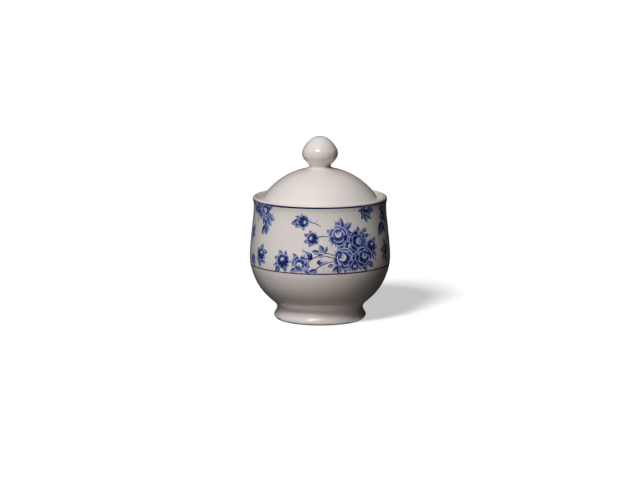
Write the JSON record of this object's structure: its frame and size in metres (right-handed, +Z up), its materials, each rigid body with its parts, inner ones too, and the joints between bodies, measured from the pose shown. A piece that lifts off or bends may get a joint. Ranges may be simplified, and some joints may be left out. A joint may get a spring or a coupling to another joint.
{
  "type": "sugar bowl",
  "caption": "Round lidded bowl on a foot ring, with a domed lift-off lid and a round knob.",
  "frame": {"origin": "centre of the foot's contact face, on the axis of the bowl, on the surface it stands on", "axes": "+Z up along the axis of bowl and lid; +X to the right and +Y away from the viewer, as seen from the front of the printed pattern"},
  "size_m": [0.088, 0.088, 0.1147],
  "materials": {
    "bowl_glaze": "gloss",
    "lid_glaze": "gloss",
    "blue_print": "gloss"
  },
  "bodies": {
    "bowl": {"bowl_body": "bowl_glaze", "foot_ring": "bowl_glaze"},
    "lid": {"lid_dome": "lid_glaze", "lid_flange": "lid_glaze", "lid_knob": "lid_glaze"}
  },
  "joints": [
    {"name": "lid_lift", "type": "slide", "parent": "bowl", "child": "lid", "axis": [0, 0, 1], "range_m": [0, 0.06]}
  ]
}
